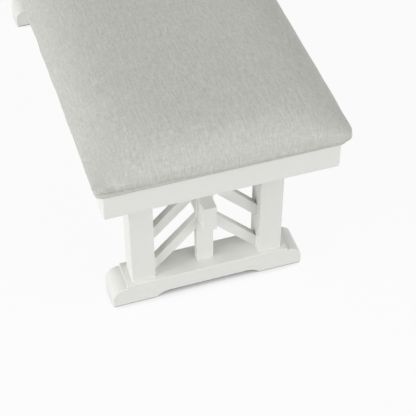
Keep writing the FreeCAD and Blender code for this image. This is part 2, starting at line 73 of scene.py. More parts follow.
class SeatSizes(bpy.types.PropertyGroup):
    """Sizes of the padded seat and of the cloth under it."""

    length: FloatProperty(
        name="Length", description="Length of the seat over its swell",
        default=COVER_HIGH.x - COVER_LOW.x, unit="LENGTH",
    )
    depth: FloatProperty(
        name="Depth", description="Depth of the seat over its swell",
        default=COVER_HIGH.y - COVER_LOW.y, unit="LENGTH",
    )
    corner_radius: FloatProperty(
        name="Corner radius", description="Plan radius of the seat's corners",
        default=0.010, unit="LENGTH",
    )
    swell_height: FloatProperty(
        name="Swell height", description="Height of the widest line of the pad above the frame",
        default=0.032, unit="LENGTH",
    )
    tuck: FloatProperty(
        name="Tuck", description="How far the pad's lower edge is drawn in from its widest line",
        default=0.013, unit="LENGTH",
    )
    end_flatness: FloatProperty(
        name="End flatness", description="Power that keeps the seat flat as it nears its ends",
        default=8.0,
    )
    end_fullness: FloatProperty(
        name="End fullness", description="Power that squares the roll of the seat's ends",
        default=1.35,
    )
    side_flatness: FloatProperty(
        name="Side flatness", description="Power that keeps the seat flat as it nears its long sides",
        default=5.3,
    )
    side_fullness: FloatProperty(
        name="Side fullness", description="Power that squares the roll of the seat's long sides",
        default=1.15,
    )
    crown_rise: FloatProperty(
        name="Crown rise", description="How far the crown stands above the plain solid before it swells",
        default=0.008, unit="LENGTH",
    )
    corner_lean: FloatProperty(
        name="Corner lean", description="How much the rolls widen towards the corners",
        default=0.42, subtype="FACTOR",
    )
    corner_length: FloatProperty(
        name="Corner length", description="How far in from the ends the roll of the sides widens",
        default=0.22, unit="LENGTH",
    )
    corner_width: FloatProperty(
        name="Corner width", description="How far in from the sides the roll of the ends widens",
        default=0.13, unit="LENGTH",
    )
    rear_fill: FloatProperty(
        name="Rear fill", description="How much fuller the rear side's roll is than the front side's",
        default=0.45, subtype="FACTOR",
    )
    front_drop: FloatProperty(
        name="Front drop", description="How much lower the widest line is along the front side",
        default=0.009, unit="LENGTH",
    )
    front_draw: FloatProperty(
        name="Front draw", description="How far the front side is drawn in",
        default=0.0025, unit="LENGTH",
    )
    smoothing_loss: FloatProperty(
        name="Smoothing loss", description="How much the pad's outline shrinks as its mesh is smoothed",
        default=0.001, unit="LENGTH",
    )
    cell: FloatProperty(
        name="Cell", description="Size of the mesh cells that the pad swells with",
        default=0.008, unit="LENGTH",
    )
    pressure: FloatProperty(
        name="Pressure", description="Pressure of the stuffing against the cover", default=0.06,
    )
    cloth_stiffness: FloatProperty(
        name="Cloth stiffness", description="How much the cover resists stretching", default=30.0,
    )
    swell_limit: FloatProperty(
        name="Swell limit", description="The furthest that a point of the pad may swell",
        default=0.006, unit="LENGTH",
    )
    swell_frames: IntProperty(
        name="Swell frames", description="Frames over which the pad swells", default=20,
    )
    pleat_inset: FloatProperty(
        name="Pleat inset", description="How far a corner pleat starts from the seat's side",
        default=0.028, unit="LENGTH",
    )
    pleat_width: FloatProperty(
        name="Pleat width", description="Half width of a corner pleat", default=0.012, unit="LENGTH",
    )
    pleat_depth: FloatProperty(
        name="Pleat depth", description="Depth of a corner pleat", default=0.006, unit="LENGTH",
    )
    crease_ease: FloatProperty(
        name="Crease ease", description="How far the lower edge stands out where the crease is slack",
        default=0.007, unit="LENGTH",
    )
    slack_drop: FloatProperty(
        name="Slack drop", description="How far the lower edge hangs down where the crease is slack",
        default=0.005, unit="LENGTH",
    )
    pucker_depth: FloatProperty(
        name="Pucker depth", description="Depth of the puckers along the lower edge",
        default=0.0012, unit="LENGTH",
    )
    edge_overhang: FloatProperty(
        name="Edge overhang", description="How far the swell stands out over the board's wrapped edge",
        default=0.010, unit="LENGTH",
    )
    edge_roll: FloatProperty(
        name="Edge roll", description="How far the cover bulges out round the board's edge",
        default=0.005, unit="LENGTH",
    )
    edge_radius: FloatProperty(
        name="Edge radius", description="Plan radius of the wrapped edge's corners",
        default=0.014, unit="LENGTH",
    )
    margin: FloatProperty(
        name="Margin", description="Width of cover that is turned under the board",
        default=0.038, unit="LENGTH",
    )
    cloth_thickness: FloatProperty(
        name="Cloth thickness", description="Thickness of the cover and of the dust cloth",
        default=0.0011, unit="LENGTH",
    )
    dust_sag: FloatProperty(
        name="Dust cloth sag", description="How far the dust cloth sags between its supports",
        default=0.0025, unit="LENGTH",
    )


class Finishes(bpy.types.PropertyGroup):
    """Colours of the bench, in linear light."""

    linen: FloatVectorProperty(
        name="Linen", description="Main yarn of the cover", subtype="COLOR",
        default=(0.636, 0.641, 0.598), min=0, max=1,
    )
    linen_slub: FloatVectorProperty(
        name="Linen slub", description="Darker slubs and gaps of the weave", subtype="COLOR",
        default=(0.479, 0.484, 0.445), min=0, max=1,
    )
    paint: FloatVectorProperty(
        name="Paint", description="White paint of the frame", subtype="COLOR",
        default=(0.80, 0.808, 0.77), min=0, max=1,
    )
    paint_grain: FloatVectorProperty(
        name="Paint in the grain", description="Paint where it lies thin in the grain", subtype="COLOR",
        default=(0.72, 0.727, 0.685), min=0, max=1,
    )
    bare_wood: FloatVectorProperty(
        name="Bare wood", description="Unpainted blocks and bearer", subtype="COLOR",
        default=(0.58, 0.42, 0.26), min=0, max=1,
    )
    bare_wood_grain: FloatVectorProperty(
        name="Bare wood grain", description="Late wood of the unpainted pieces", subtype="COLOR",
        default=(0.40, 0.26, 0.14), min=0, max=1,
    )
    dowel_wood: FloatVectorProperty(
        name="Dowel wood", description="Turned hardwood dowels", subtype="COLOR",
        default=(0.66, 0.50, 0.33), min=0, max=1,
    )
    zinc: FloatVectorProperty(
        name="Zinc", description="Plated steel of the fixings", subtype="COLOR",
        default=(0.62, 0.62, 0.60), min=0, max=1,
    )
    zinc_dull: FloatVectorProperty(
        name="Dull zinc", description="Duller spangle of the plating", subtype="COLOR",
        default=(0.45, 0.45, 0.44), min=0, max=1,
    )
    nylon: FloatVectorProperty(
        name="Nylon", description="Glides under the feet", subtype="COLOR",
        default=(0.80, 0.79, 0.75), min=0, max=1,
    )
    nylon_scuff: FloatVectorProperty(
        name="Scuffed nylon", description="Scuffs on the glides", subtype="COLOR",
        default=(0.55, 0.54, 0.51), min=0, max=1,
    )
    dust_cloth: FloatVectorProperty(
        name="Dust cloth", description="Felted cloth under the seat", subtype="COLOR",
        default=(0.035, 0.035, 0.037), min=0, max=1,
    )
    dust_fibre: FloatVectorProperty(
        name="Dust cloth fibre", description="Paler fibres of the dust cloth", subtype="COLOR",
        default=(0.085, 0.085, 0.088), min=0, max=1,
    )


class StageSettings(bpy.types.PropertyGroup):
    """Camera, light and floor of the studio stage."""

    camera_place: FloatVectorProperty(
        name="Camera place", description="Where the camera stands", subtype="TRANSLATION", unit="LENGTH",
        default=(2.0353, -0.4922, 1.9111),
    )
    camera_yaw: FloatProperty(
        name="Camera yaw", description="Turn of the view away from the bench's long axis",
        default=math.radians(17.825), subtype="ANGLE",
    )
    camera_pitch: FloatProperty(
        name="Camera pitch", description="How far the camera looks down",
        default=math.radians(46.415), subtype="ANGLE",
    )
    lens: FloatProperty(
        name="Lens", description="Focal length on a 36 mm sensor", default=105.23, unit="CAMERA",
    )
    side_power: FloatProperty(
        name="Side power", description="Power of the softbox along the bench's front side", default=610.0,
        unit="POWER",
    )
    corner_power: FloatProperty(
        name="Corner power", description="Power of the softbox off the near front corner", default=565.0,
        unit="POWER",
    )
    end_power: FloatProperty(
        name="End power", description="Power of the higher softbox off the near end", default=240.0,
        unit="POWER",
    )
    rear_power: FloatProperty(
        name="Rear power", description="Power of the low softbox off the near rear corner", default=630.0,
        unit="POWER",
    )
    sky: FloatProperty(
        name="Sky", description="Even light from all round the stage", default=0.329,
    )
    floor: FloatVectorProperty(
        name="Floor", description="Pale floor under the bench", subtype="COLOR",
        default=(0.65, 0.65, 0.65), min=0, max=1,
    )
    floor_white: FloatProperty(
        name="Floor white", description="Share of plain white that the camera sees in the open floor",
        default=0.93, subtype="FACTOR", min=0, max=1,
    )
    # Reach of the painted contact shade that dims the floor's white near the pieces.
    painted_shade_reach: FloatProperty(
        name="Nook reach", description="How near a piece over the floor dims that white",
        default=0.06, unit="LENGTH",
    )


# Small steps shared by the operators.
def leave_all_unselected():
    """Goes to object mode with nothing selected, so that an operator touches only its own piece."""
    if bpy.context.object and bpy.context.object.mode != "OBJECT":
        bpy.ops.object.mode_set(mode="OBJECT")
    bpy.ops.object.select_all(action="DESELECT")


def select_only(piece):
    """Makes one piece the selected and active object."""
    leave_all_unselected()
    piece.select_set(True)
    bpy.context.view_layer.objects.active = piece


def apply_modifier(piece, kind, **settings):
    """Adds a modifier with these settings and applies it to the mesh."""
    modifier = piece.modifiers.new(kind.lower(), kind)
    for setting, value in settings.items():
        setattr(modifier, setting, value)
    bpy.ops.object.modifier_apply(modifier=modifier.name)


def points_of(piece):
    """The piece's vertices as an array of rows."""
    flat = np.zeros(len(piece.data.vertices) * 3)
    piece.data.vertices.foreach_get("co", flat)
    return flat.reshape(-1, 3)


def set_points(piece, points):
    """Writes an array of rows back to the piece's vertices."""
    piece.data.vertices.foreach_set("co", points.ravel())
    piece.data.update()


def ease(value, start, end):
    """0 before start, 1 after end, and a smooth ramp between. start may be the larger."""
    share = np.clip((value - start) / (end - start), 0, 1)
    return share * share * (3 - 2 * share)


def wear(piece, material):
    """Gives a piece or a CAD node one material all over."""
    if piece.material_slots:
        for slot in piece.material_slots:
            slot.material = material
    else:
        piece.data.materials.append(material)


def finish_nodes(names, material):
    """Gives CAD nodes their material."""
    for name in names:
        wear(frame["nodes"][name], material)


# Shader helpers.
def set_input(tree, socket, value):
    """Links a socket to an input, or sets a plain number, colour or vector on it."""
    if isinstance(value, bpy.types.NodeSocket):
        tree.links.new(value, socket)
    elif hasattr(value, "__len__") and len(value) == 3 and socket.type == "RGBA":
        socket.default_value = (*value, 1)
    else:
        socket.default_value = value


def math_of(tree, operation, *values):
    """One Math node."""
    node = tree.nodes.new("ShaderNodeMath")
    node.operation = operation
    for socket, value in zip(node.inputs, values):
        set_input(tree, socket, value)
    return node.outputs["Value"]


def scaled(tree, value, factor, base=0.0):
    """A value times a factor, plus a base."""
    return math_of(tree, "MULTIPLY_ADD", value, factor, base)


def weighted(tree, values, weights, base=0.0):
    """A base plus some named values, each times its weight."""
    total = base
    for name, weight in weights.items():
        total = scaled(tree, values[name], weight, total)
    return total


def colour_sockets(sockets):
    """Those of a node's sockets that carry a colour."""
    return [socket for socket in sockets if socket.type == "RGBA"]


def mix_of(tree, factor, first, second):
    """A colour between two colours."""
    node = tree.nodes.new("ShaderNodeMix")
    node.data_type = "RGBA"
    set_input(tree, node.inputs["Factor"], factor)
    for socket, colour in zip(colour_sockets(node.inputs), (first, second)):
        set_input(tree, socket, colour)
    return colour_sockets(node.outputs)[0]


def blend_of(tree, factor, first, second):
    """A shader between two shaders."""
    node = tree.nodes.new("ShaderNodeMixShader")
    for socket, value in zip(node.inputs, (factor, first, second)):
        tree.links.new(value, socket)
    return node.outputs["Shader"]


def spread_of(tree, value, low, high):
    """Stretches a value so that low becomes 0 and high becomes 1."""
    node = tree.nodes.new("ShaderNodeMapRange")
    set_input(tree, node.inputs["Value"], value)
    node.inputs["From Min"].default_value = low
    node.inputs["From Max"].default_value = high
    return node.outputs["Result"]


def speckle(tree, place, scale, detail=2.0):
    """Noise whose grains are 1 / scale long along each axis, from 0 to 1."""
    stretch = tree.nodes.new("ShaderNodeVectorMath")
    stretch.operation = "MULTIPLY"
    set_input(tree, stretch.inputs[0], place)
    stretch.inputs[1].default_value = scale
    grains = tree.nodes.new("ShaderNodeTexNoise")
    grains.inputs["Scale"].default_value = 1.0
    grains.inputs["Detail"].default_value = detail
    tree.links.new(stretch.outputs["Vector"], grains.inputs["Vector"])
    return grains.outputs["Fac"]


def new_group(name, inputs, outputs):
    """An empty shader node group with named sockets, and those sockets seen from inside it."""
    tree = bpy.data.node_groups.new(name, "ShaderNodeTree")
    for label, kind in inputs.items():
        tree.interface.new_socket(label, in_out="INPUT", socket_type=kind)
    for label in outputs:
        tree.interface.new_socket(label, in_out="OUTPUT", socket_type="NodeSocketFloat")
    return tree, tree.nodes.new("NodeGroupInput").outputs, tree.nodes.new("NodeGroupOutput").inputs


def place_group(tree, group, **inputs):
    """Places a node group in a material, with its inputs."""
    node = tree.nodes.new("ShaderNodeGroup")
    node.node_tree = group
    for label, value in inputs.items():
        set_input(tree, node.inputs[label], value)
    return node.outputs


# Wood grain: grains per metre along and across the wood, and what they add up to.
BROAD_STREAKS = (5, 190, 190)
FINE_STREAKS = (16, 720, 720)
STREAK_WEIGHTS = {"broad": 0.6, "fine": 0.4}
MOTTLES = (7, 11, 11)
MOTTLE_DETAIL = 3.0
NICKS = (42, 260, 260)
NICK_DETAIL = 1.0
NICK_START = 0.76
NICK_FULL = 0.84


def wood_grain_group():
    """Streaks along X, soft mottling and rare nicks, for painted and bare wood."""
    name = "wood grain"
    if name in bpy.data.node_groups:
        return bpy.data.node_groups[name]
    tree, given, made = new_group(name, {"Place": "NodeSocketVector"}, ("Streak", "Mottle", "Nick"))
    place = given["Place"]
    streaks = {"broad": speckle(tree, place, BROAD_STREAKS), "fine": speckle(tree, place, FINE_STREAKS)}
    nicks = speckle(tree, place, NICKS, NICK_DETAIL)
    tree.links.new(weighted(tree, streaks, STREAK_WEIGHTS), made["Streak"])
    tree.links.new(speckle(tree, place, MOTTLES, MOTTLE_DETAIL), made["Mottle"])
    tree.links.new(spread_of(tree, nicks, NICK_START, NICK_FULL), made["Nick"])
    return tree


# Linen weave: grains per metre along and across the seat, and their weights in its shade and height.
WEAVE_GRAINS = {
    "fine_yarns": (75, 420, 1), "fine_picks": (420, 90, 1),
    "long_yarns": (26, 300, 1), "long_picks": (260, 16, 1), "clouds": (24, 24, 1),
}
WEAVE_LOW = 0.3
WEAVE_HIGH = 0.7
SLUBS = (20, 320, 1)
SLUB_DETAIL = 1.0
SLUB_START = 0.62
SLUB_FULL = 0.76
WEAVE_SHADE = {
    "fine_yarns": 0.62, "fine_picks": 0.42, "long_yarns": 0.40, "long_picks": 0.20,
    "clouds": 0.10, "slubs": -0.40, "crossing": 0.05,
}
WEAVE_SHADE_BASE = -0.37
WEAVE_HEIGHT = {"fine_yarns": -0.6, "fine_picks": -0.5, "slubs": 0.8, "crossing": 0.25}


def linen_weave_group():
    """Slub weave on cloth coordinates: yarns along the seat, picks across it, and how they cross."""
    name = "linen weave"
    if name in bpy.data.node_groups:
        return bpy.data.node_groups[name]
    tree, given, made = new_group(name, {"Thread": "NodeSocketVector"}, ("Shade", "Height"))
    thread = given["Thread"]
    parts = {
        part: spread_of(tree, speckle(tree, thread, grains), WEAVE_LOW, WEAVE_HIGH)
        for part, grains in WEAVE_GRAINS.items()
    }
    slubs = speckle(tree, thread, SLUBS, SLUB_DETAIL)
    parts["slubs"] = spread_of(tree, slubs, SLUB_START, SLUB_FULL)
    axes = tree.nodes.new("ShaderNodeSeparateXYZ")
    tree.links.new(thread, axes.inputs["Vector"])
    turns = 2 * math.pi / THREAD_PITCH
    over = math_of(tree, "SINE", scaled(tree, axes.outputs["X"], turns))
    under = math_of(tree, "SINE", scaled(tree, axes.outputs["Y"], turns))
    parts["crossing"] = math_of(tree, "MULTIPLY", over, under)
    tree.links.new(weighted(tree, parts, WEAVE_SHADE, WEAVE_SHADE_BASE), made["Shade"])
    tree.links.new(weighted(tree, parts, WEAVE_HEIGHT), made["Height"])
    return tree


def new_finish(name):
    """A material with its node tree and its Principled shader."""
    material = bpy.data.materials.new(name)
    material.use_nodes = True
    return material, material.node_tree, material.node_tree.nodes["Principled BSDF"]


def add_bump(tree, shader, height, strength, distance):
    """Raises the surface by a height value."""
    bump = tree.nodes.new("ShaderNodeBump")
    bump.inputs["Strength"].default_value = strength
    bump.inputs["Distance"].default_value = distance
    tree.links.new(height, bump.inputs["Height"])
    tree.links.new(bump.outputs["Normal"], shader.inputs["Normal"])


def object_place(tree, turn=(0, 0, 0)):
    """Object coordinates in metres, turned so that X runs along the grain."""
    place = tree.nodes.new("ShaderNodeTexCoord").outputs["Object"]
    mapping = tree.nodes.new("ShaderNodeMapping")
    mapping.inputs["Rotation"].default_value = turn
    tree.links.new(place, mapping.inputs["Vector"])
    return mapping.outputs["Vector"]


# Turns that bring a piece's grain onto X.
ALONG_X = (0, 0, 0)
ALONG_Y = (0, 0, -math.pi / 2)
ALONG_Z = (0, math.pi / 2, 0)
SLAT_ANGLE = math.radians(46.5)
FRONT_SLAT = (-SLAT_ANGLE, 0, -math.pi / 2)
REAR_SLAT = (SLAT_ANGLE - math.pi, 0, -math.pi / 2)


# Paint over the grain.
PAINT_THIN_START = 0.35
PAINT_THIN_FULL = 0.75
PAINT_UNEVEN = 0.5
PAINT_NICK_SHOW = 0.4
PAINT_ROUGHNESS = 0.42
PAINT_ROUGHER = 0.16
PAINT_SPECULAR = 0.1
PAINT_HEIGHT = {"Streak": -1.0, "Nick": -1.0}
PAINT_BUMP = 0.35
PAINT_RELIEF = 0.4 * MILLIMETRE


def painted_finish(colours, name, turn):
    """White paint brushed along the grain, thin over the pores and with a nick here and there."""
    material, tree, shader = new_finish(name)
    grain = place_group(tree, wood_grain_group(), Place=object_place(tree, turn))
    thin = spread_of(tree, grain["Streak"], PAINT_THIN_START, PAINT_THIN_FULL)
    uneven = scaled(tree, grain["Mottle"], PAINT_UNEVEN)
    nicked = scaled(tree, grain["Nick"], PAINT_NICK_SHOW)
    tint = mix_of(tree, math_of(tree, "MULTIPLY", thin, uneven), colours.paint, colours.paint_grain)
    tint = mix_of(tree, nicked, tint, colours.bare_wood_grain)
    gloss = scaled(tree, grain["Streak"], PAINT_ROUGHER, PAINT_ROUGHNESS)
    tree.links.new(tint, shader.inputs["Base Color"])
    tree.links.new(gloss, shader.inputs["Roughness"])
    shader.inputs["Specular IOR Level"].default_value = PAINT_SPECULAR
    add_bump(tree, shader, weighted(tree, grain, PAINT_HEIGHT), PAINT_BUMP, PAINT_RELIEF)
    return material


# Bare wood.
WOOD_BAND_START = 0.3
WOOD_BAND_FULL = 0.7
WOOD_ROUGHNESS = 0.55
WOOD_ROUGHER = 0.2
WOOD_BUMP = 0.3
WOOD_RELIEF = 0.3 * MILLIMETRE


def wood_finish(name, light, dark, turn, contrast):
    """Planed bare wood with its grain along one way."""
    material, tree, shader = new_finish(name)
    grain = place_group(tree, wood_grain_group(), Place=object_place(tree, turn))
    bands = spread_of(tree, grain["Streak"], WOOD_BAND_START, WOOD_BAND_FULL)
    share = scaled(tree, math_of(tree, "ADD", bands, grain["Mottle"]), contrast)
    gloss = scaled(tree, grain["Streak"], WOOD_ROUGHER, WOOD_ROUGHNESS)
    tree.links.new(mix_of(tree, share, light, dark), shader.inputs["Base Color"])
    tree.links.new(gloss, shader.inputs["Roughness"])
    add_bump(tree, shader, grain["Streak"], WOOD_BUMP, WOOD_RELIEF)
    return material


# Plating, nylon and felt.
SPECKLE_DETAIL = 4.0
BROAD_SPECKLE = 8
SPECKLE_START = 0.7
SPECKLE_FULL = 1.3
SPECKLE_ROUGHER = 0.2
SPECKLE_BUMP = 0.2
SPECKLE_RELIEF = 0.2 * MILLIMETRE


def speckled_finish(name, light, dark, grains, roughness, metal=0.0):
    """A plain stuff with fine speckle in its colour, gloss and surface, with its grains per metre."""
    material, tree, shader = new_finish(name)
    place = object_place(tree)
    fine = speckle(tree, place, [grains] * 3, SPECKLE_DETAIL)
    broad = speckle(tree, place, [grains / BROAD_SPECKLE] * 3)
    share = spread_of(tree, math_of(tree, "ADD", fine, broad), SPECKLE_START, SPECKLE_FULL)
    gloss = scaled(tree, fine, SPECKLE_ROUGHER, roughness)
    tree.links.new(mix_of(tree, share, light, dark), shader.inputs["Base Color"])
    tree.links.new(gloss, shader.inputs["Roughness"])
    shader.inputs["Metallic"].default_value = metal
    add_bump(tree, shader, fine, SPECKLE_BUMP, SPECKLE_RELIEF)
    return material


# Linen.
LINEN_BUMP = 0.35
LINEN_RELIEF = 0.5 * MILLIMETRE
LINEN_LOOK = {
    "Roughness": 0.92, "Specular IOR Level": 0.2, "Sheen Weight": 0.12, "Sheen Roughness": 0.5,
}


def linen_finish(colours):
    """Pale grey slub linen."""
    material, tree, shader = new_finish("upholstery_linen")
    run = tree.nodes.new("ShaderNodeAttribute")
    run.attribute_name = THREAD
    weave = place_group(tree, linen_weave_group(), Thread=run.outputs["Vector"])
    tint = mix_of(tree, weave["Shade"], colours.linen, colours.linen_slub)
    tree.links.new(tint, shader.inputs["Base Color"])
    add_bump(tree, shader, weave["Height"], LINEN_BUMP, LINEN_RELIEF)
    for label, value in LINEN_LOOK.items():
        shader.inputs[label].default_value = value
    return material


# The padded seat.
CORNER_STEPS = 8
LOW_STEPS = 5
HIGH_STEPS = 22
CAP_SHARE = 0.94
HELD_FADE = 20 * MILLIMETRE
EDGE_STEPS = 12
EDGE_TUCK = 8 * MILLIMETRE
TINY = 1e-9

# The corner pleats. Heights are shares of the widest line's height over the crease.
PLEAT_REACH = 30 * MILLIMETRE
PLEAT_SLANT = 0.35
PLEAT_TOP = 1.5
PLEAT_FULL = 0.8
PLEAT_FOOT = 0.5

# The slack of the crease: where it starts and is full, in shares of the depth, its least, and its top.
SLACK_FROM = -0.45
SLACK_FULL = 0.05
SLACK_LEAST = 0.2
SLACK_TOP = 1.2

# The puckers over the crease.
PUCKERS_PER_METRE = 24
PUCKER_TOP = 2.6
PUCKER_FULL = 0.8

# Where the threads turn down: the plan radius at the corners, and how far under the plain solid's top.
THREAD_TURN = 60 * MILLIMETRE
THREAD_DROP = 4 * MILLIMETRE


def rounded_plate(name, half_length, half_depth, corner_radius, height):
    """A flat face with round corners, left in edit mode with all of it selected."""
    leave_all_unselected()
    bpy.ops.mesh.primitive_plane_add(size=2, location=(0, 0, 0))
    plate = bpy.context.object
    plate.name = name
    plate.data.name = name
    bpy.ops.object.mode_set(mode="EDIT")
    bpy.ops.mesh.select_all(action="SELECT")
    bpy.ops.transform.resize(value=(half_length, half_depth, 1))
    bpy.ops.transform.translate(value=(0, 0, height))
    bpy.ops.mesh.bevel(offset=corner_radius, segments=CORNER_STEPS, affect="VERTICES")
    bpy.ops.mesh.select_all(action="SELECT")
    return plate


def pull_ring(extrude, now, then):
    """Extrudes what is selected from one (half length, half depth, height) to the next."""
    extrude(TRANSFORM_OT_translate={"value": (0, 0, then[2] - now[2])})
    bpy.ops.transform.resize(value=(then[0] / now[0], then[1] / now[1], 1), center_override=(0, 0, 0))


def crown(share, flatness, fullness):
    """Height of the crown as a share, from the inset as a share of the half depth."""
    return (1 - (1 - share) ** flatness) ** (1 / fullness)


def pad_levels(sizes):
    """Heights of the pad's bottom, its widest line and its crown, before it swells."""
    bottom = BOARD_HIGH.z + sizes.cloth_thickness
    swell = COVER_LOW.z + sizes.swell_height
    top = COVER_HIGH.z + sizes.crown_rise
    return bottom, swell, top


def pad_halves(sizes):
    """Half the pad's length and half its depth, with what the smoothing takes off."""
    return sizes.length / 2 + sizes.smoothing_loss, sizes.depth / 2 + sizes.smoothing_loss


def pad_rings(sizes):
    """Each ring of the pad as (half length, half depth, height), from the tucked bottom to the crown."""
    half_length, half_depth = pad_halves(sizes)
    bottom, swell, top = pad_levels(sizes)
    profile = []
    for step in range(LOW_STEPS + 1):
        turn = math.pi / 2 * step / LOW_STEPS
        profile.append((sizes.tuck * (1 - math.sin(turn)), swell - (swell - bottom) * math.cos(turn)))
    for step in range(1, HIGH_STEPS + 1):
        share = CAP_SHARE * (step / HIGH_STEPS) ** 2
        rise = crown(share, sizes.end_flatness, sizes.end_fullness)
        profile.append((share * half_depth, swell + rise * (top - swell)))
    return [(half_length - inset, half_depth - inset, height) for inset, height in profile]


def lay_crown(pad, sizes):
    """Lays the crown out from the rolls of the sides and the ends, so that it falls off at the corners."""
    points = points_of(pad)
    half_length, half_depth = pad_halves(sizes)
    bottom, swell, top = pad_levels(sizes)
    front = ease(points[:, 1], half_depth / 2, -half_depth / 2)
    from_side = np.maximum(half_depth - np.abs(points[:, 1]), 0)
    from_end = np.maximum(half_length - np.abs(points[:, 0]), 0)
    side_inset = from_side * (1 - sizes.corner_lean * ease(from_end, sizes.corner_length, 0))
    side_inset *= 1 + sizes.rear_fill * (1 - front)
    end_inset = from_end * (1 - sizes.corner_lean * ease(from_side, sizes.corner_width, 0))
    side = crown(np.minimum(side_inset / half_depth, 1), sizes.side_flatness, sizes.side_fullness)
    end = crown(np.minimum(end_inset / half_depth, 1), sizes.end_flatness, sizes.end_fullness)
    drop = sizes.front_drop * front * (1 - side)
    over = swell - drop + (top - swell) * side * end
    under = bottom + (points[:, 2] - bottom) * (1 - drop / (swell - bottom))
    points[:, 2] = np.where(points[:, 2] > swell, over, under)
    points[:, 1] *= 1 - sizes.front_draw / half_depth * front
    set_points(pad, points)


def loft_pad(sizes):
    """The pad before it swells: a crowned form, tucked in at its lower edge."""
    rings = pad_rings(sizes)
    pad = rounded_plate("seat_cushion", rings[0][0], rings[0][1], sizes.corner_radius, rings[0][2])
    for now, then in zip(rings, rings[1:]):
        pull_ring(bpy.ops.mesh.extrude_region_move, now, then)
    bpy.ops.mesh.select_all(action="SELECT")
    bpy.ops.mesh.normals_make_consistent(inside=False)
    bpy.ops.object.mode_set(mode="OBJECT")
    apply_modifier(pad, "REMESH", mode="VOXEL", voxel_size=sizes.cell)
    lay_crown(pad, sizes)
    return pad


def swell_pad(pad, sizes):
    """Blows the pad up as cloth, held at its bottom, and keeps each point within the swell limit."""
    rest = points_of(pad)
    held = pad.vertex_groups.new(name="held")
    _, swell, _ = pad_levels(sizes)
    for index, grip in enumerate(ease(rest[:, 2], swell + HELD_FADE, swell)):
        held.add([index], grip, "REPLACE")
    cloth = pad.modifiers.new("cloth", "CLOTH")
    cloth.settings.vertex_group_mass = held.name
    cloth.settings.use_pressure = True
    cloth.settings.uniform_pressure_force = sizes.pressure
    cloth.settings.effector_weights.gravity = 0
    cloth.settings.tension_stiffness = sizes.cloth_stiffness
    cloth.settings.compression_stiffness = sizes.cloth_stiffness
    for number in range(1, sizes.swell_frames + 1):
        bpy.context.scene.frame_set(number)
    bpy.ops.object.modifier_apply(modifier=cloth.name)
    bpy.context.scene.frame_set(1)
    pad.vertex_groups.clear()
    moved = points_of(pad) - rest
    far = np.linalg.norm(moved, axis=1)
    keep = np.minimum(1, sizes.swell_limit / np.maximum(far, TINY))
    set_points(pad, rest + moved * keep[:, None])


def settle_cover(pad, sizes):
    """Draws the cover in at the pleats, eases the crease towards two opposite corners and puckers it."""
    points = points_of(pad)
    half_length = sizes.length / 2
    inset, facing = outline(points, half_length, sizes.depth / 2, sizes.corner_radius)
    crease = BOARD_HIGH.z
    height = points[:, 2] - crease
    _, widest, _ = pad_levels(sizes)
    swell = widest - crease
    on_end = ease(np.abs(points[:, 0]), half_length - PLEAT_REACH, half_length - PLEAT_REACH / 2)
    pleat_at = sizes.depth / 2 - sizes.pleat_inset - PLEAT_SLANT * height
    across = (np.abs(points[:, 1]) - pleat_at) / sizes.pleat_width
    pleat = np.exp(-across ** 2) * on_end * ease(height, PLEAT_TOP * swell, PLEAT_FULL * swell)
    pleat *= ease(height, 0, PLEAT_FOOT * swell)
    diagonal = points[:, 1] * points[:, 0] / half_length
    slack = ease(diagonal, SLACK_FROM * sizes.depth, SLACK_FULL * sizes.depth)
    points[:, 0] -= np.sign(points[:, 0]) * sizes.pleat_depth * pleat * (1 - slack)
    low = ease(height, SLACK_TOP * swell, 0) * (SLACK_LEAST + (1 - SLACK_LEAST) * slack)
    pucker = np.array([
        noise.noise(Vector((x * PUCKERS_PER_METRE, y * PUCKERS_PER_METRE, 0))) for x, y, _ in points
    ])
    pucker *= ease(height, PUCKER_TOP * swell, PUCKER_FULL * swell)
    out = sizes.crease_ease * low + sizes.pucker_depth * pucker
    points[:, :2] += facing * out[:, None]
    clear = ease(inset - out, sizes.edge_overhang, sizes.edge_overhang / 2)
    points[:, 2] -= sizes.slack_drop * low * clear
    set_points(pad, points)


def wrap_edge(sizes):
    """The cover round the board's edge and under it: a thin wall with its margin turned in."""
    roll = sizes.edge_roll
    half_length = sizes.length / 2 - sizes.edge_overhang + roll
    half_depth = sizes.depth / 2 - sizes.edge_overhang + roll
    low = COVER_LOW.z
    high = BOARD_HIGH.z + sizes.cloth_thickness
    profile = [(roll + EDGE_TUCK, high)]
    for step in range(EDGE_STEPS + 1):
        turn = math.pi * (step / EDGE_STEPS - 0.5)
        height = (high + low) / 2 - (high - low) / 2 * math.sin(turn)
        profile.append((roll * (1 - math.cos(turn)), height))
    profile.append((roll + sizes.margin, low))
    rings = [(half_length - inset, half_depth - inset, height) for inset, height in profile]
    edge = rounded_plate("seat_edge", rings[0][0], rings[0][1], sizes.edge_radius, rings[0][2])
    bpy.ops.mesh.delete(type="ONLY_FACE")
    bpy.ops.mesh.select_all(action="SELECT")
    for now, then in zip(rings, rings[1:]):
        pull_ring(bpy.ops.mesh.extrude_edges_move, now, then)
    bpy.ops.mesh.select_all(action="SELECT")
    bpy.ops.mesh.normals_make_consistent(inside=False)
    bpy.ops.object.mode_set(mode="OBJECT")
    apply_modifier(edge, "SOLIDIFY", thickness=sizes.cloth_thickness, offset=-1)
    return edge


def outline(points, half_length, half_depth, radius):
    """Each point's inset from a rounded plan outline and the outward direction there."""
    over_x = np.abs(points[:, 0]) - (half_length - radius)
    over_y = np.abs(points[:, 1]) - (half_depth - radius)
    out = np.stack([np.maximum(over_x, 0), np.maximum(over_y, 0)], 1)
    reach = np.linalg.norm(out, axis=1)
    inset = radius - reach - np.minimum(np.maximum(over_x, over_y), 0)
    facing = out / np.maximum(reach, TINY)[:, None] * np.sign(points[:, :2])
    return inset, facing


